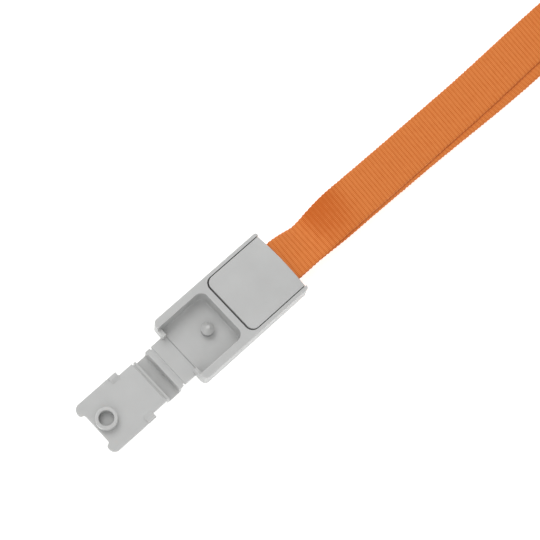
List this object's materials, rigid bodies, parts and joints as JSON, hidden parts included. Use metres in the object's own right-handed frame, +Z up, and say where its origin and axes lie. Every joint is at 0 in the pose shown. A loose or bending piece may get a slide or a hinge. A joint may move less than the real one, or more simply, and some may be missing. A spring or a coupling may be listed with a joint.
{
  "type": "ribbon lanyard with snap-flap clip",
  "caption": "Flat ribbon lanyard clip: a flap on film hinges folds over a U-shaped bow and snaps onto a stud, closing an eye for a badge or tool strap.",
  "frame": {"origin": "under the middle of the open clip without its ribbon, on the surface that the bow lies on", "axes": "+X along the clip from the flap's free end toward the ribbon, +Y across the clip, +Z up out of the open pocket"},
  "size_m": [0.3092, 0.024, 0.013],
  "materials": {
    "grey_plastic": "fine satin moulded surface",
    "orange_ribbon": "cross-ribbed woven polyester",
    "tie_elastic": "matte elastic band"
  },
  "bodies": {
    "clip": {"clip_body": "grey_plastic", "snap_stud": "grey_plastic", "cover_plate": "grey_plastic", "ribbon_end_lower": "orange_ribbon", "ribbon_end_upper": "orange_ribbon", "ribbon_run_lower": "orange_ribbon", "ribbon_run_upper": "orange_ribbon", "ribbon_hank": "orange_ribbon", "hank_tie": "tie_elastic", "hinge_web_one": "grey_plastic"},
    "bow": {"bow": "grey_plastic"},
    "flap": {"flap_plate": "grey_plastic", "snap_ring": "grey_plastic", "hinge_web_two": "grey_plastic"}
  },
  "joints": [
    {"name": "bow_fold", "type": "hinge", "parent": "clip", "child": "bow", "pos_m": [-0.00885, 0, 0.00565], "axis": [0, 1, 0], "range_deg": [0, 90]},
    {"name": "flap_fold", "type": "hinge", "parent": "bow", "child": "flap", "pos_m": [-0.01605, 0, 0.00485], "axis": [0, 1, 0], "range_deg": [0, 90]}
  ]
}
